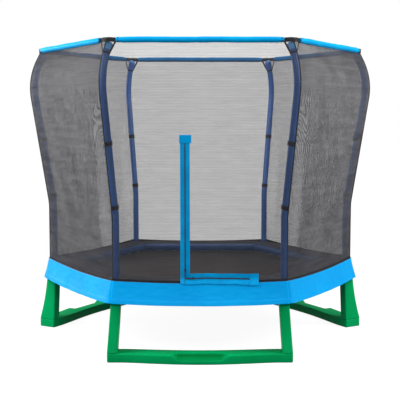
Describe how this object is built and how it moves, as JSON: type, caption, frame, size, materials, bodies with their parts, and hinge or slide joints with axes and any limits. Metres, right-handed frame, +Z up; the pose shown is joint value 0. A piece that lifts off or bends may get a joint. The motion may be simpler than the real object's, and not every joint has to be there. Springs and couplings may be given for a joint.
{
  "type": "trampoline",
  "caption": "Hexagonal junior trampoline with sprung mat, padded frame, flared skirt, U-shaped legs, bowed foam-covered poles and a zipped net enclosure.",
  "frame": {"origin": "on the ground below the middle of the mat", "axes": "+Z up, -Y out of the side with the zipped door, +X to the right of someone facing the door"},
  "size_m": [2.3714, 2.0748, 1.9606],
  "materials": {
    "leg_plastic": "blow-moulded green plastic, low sheen",
    "frame_paint": "navy powder coat",
    "pole_foam": "navy foam tube in a smooth sleeve",
    "pad_vinyl": "coated cloth over foam, navy at the inner lip",
    "skirt_cloth": "light-blue coated cloth",
    "net_mesh": "black knitted mesh, partly see-through",
    "zinc_steel": "zinc plated",
    "galvanised_tube": "galvanised",
    "cap_plastic": "bright blue moulded plastic",
    "band_cloth": "light-blue padded sleeve",
    "black_webbing": "woven webbing",
    "buckle_plastic": "moulded black plastic",
    "spring_steel": "galvanised wire",
    "mat_cloth": "woven black-brown jumping cloth",
    "zip_tape": "light-blue woven tape",
    "slider_metal": "plated metal"
  },
  "bodies": {
    "frame": {"leg_bar_front": "leg_plastic", "leg_bar_right": "leg_plastic", "leg_bar_left": "leg_plastic", "leg_upright_front_right": "leg_plastic", "leg_upright_right": "leg_plastic", "leg_upright_rear_right": "leg_plastic", "leg_upright_rear_left": "leg_plastic", "leg_upright_left": "leg_plastic", "leg_upright_front_left": "leg_plastic", "frame_tube_front": "frame_paint", "frame_tube_right_front": "frame_paint", "frame_tube_right_rear": "frame_paint", "frame_tube_rear": "frame_paint", "frame_tube_left_rear": "frame_paint", "frame_tube_left_front": "frame_paint", "foam_sleeve_front_right": "pole_foam", "foam_sleeve_right": "pole_foam", "foam_sleeve_rear_right": "pole_foam", "foam_sleeve_rear_left": "pole_foam", "foam_sleeve_left": "pole_foam", "foam_sleeve_front_left": "pole_foam", "pad_front": "pad_vinyl", "pad_right_front": "pad_vinyl", "pad_right_rear": "pad_vinyl", "pad_rear": "pad_vinyl", "pad_left_rear": "pad_vinyl", "pad_left_front": "pad_vinyl", "skirt_front": "skirt_cloth", "skirt_right_front": "skirt_cloth", "skirt_right_rear": "skirt_cloth", "skirt_rear": "skirt_cloth", "skirt_left_rear": "skirt_cloth", "skirt_left_front": "skirt_cloth", "net_front": "net_mesh", "net_right_front": "net_mesh", "net_right_rear": "net_mesh", "net_rear": "net_mesh", "net_left_rear": "net_mesh", "net_left_front": "net_mesh", "corner_sockets": "frame_paint", "leg_screws": "zinc_steel", "pole_screws": "zinc_steel", "pole_tubes_lower": "galvanised_tube", "pole_tubes_upper": "galvanised_tube", "pole_caps": "cap_plastic", "top_band": "band_cloth", "top_webbing": "black_webbing", "pole_straps": "black_webbing", "strap_buckles": "buckle_plastic", "springs": "spring_steel", "zip_tape_frame": "zip_tape"},
    "mat": {"mat": "mat_cloth", "mat_hem": "black_webbing", "mat_rings": "spring_steel"},
    "door_flap": {"door_flap": "net_mesh", "zip_tape_door": "zip_tape"},
    "zip_slider_upright": {"zip_slider_upright": "slider_metal"},
    "zip_slider_level": {"zip_slider_level": "slider_metal"}
  },
  "joints": [
    {"name": "mat_bounce", "type": "slide", "parent": "frame", "child": "mat", "axis": [0, 0, 1], "range_m": [-0.14, 0], "stiffness_N_per_m": 6000, "springref_m": 0.01, "deforming": ["springs"]},
    {"name": "door_open", "type": "hinge", "parent": "frame", "child": "door_flap", "pos_m": [0.131, -0.96398, 0.94448], "axis": [-0.4521, -0.0791, 0.8884], "range_deg": [0, 150]},
    {"name": "upright_zip", "type": "slide", "parent": "door_flap", "child": "zip_slider_upright", "axis": [0, -0.0887, 0.9961], "range_m": [0, 0.764]},
    {"name": "level_zip", "type": "slide", "parent": "door_flap", "child": "zip_slider_level", "axis": [1, 0, 0], "range_m": [0, 0.334]}
  ]
}
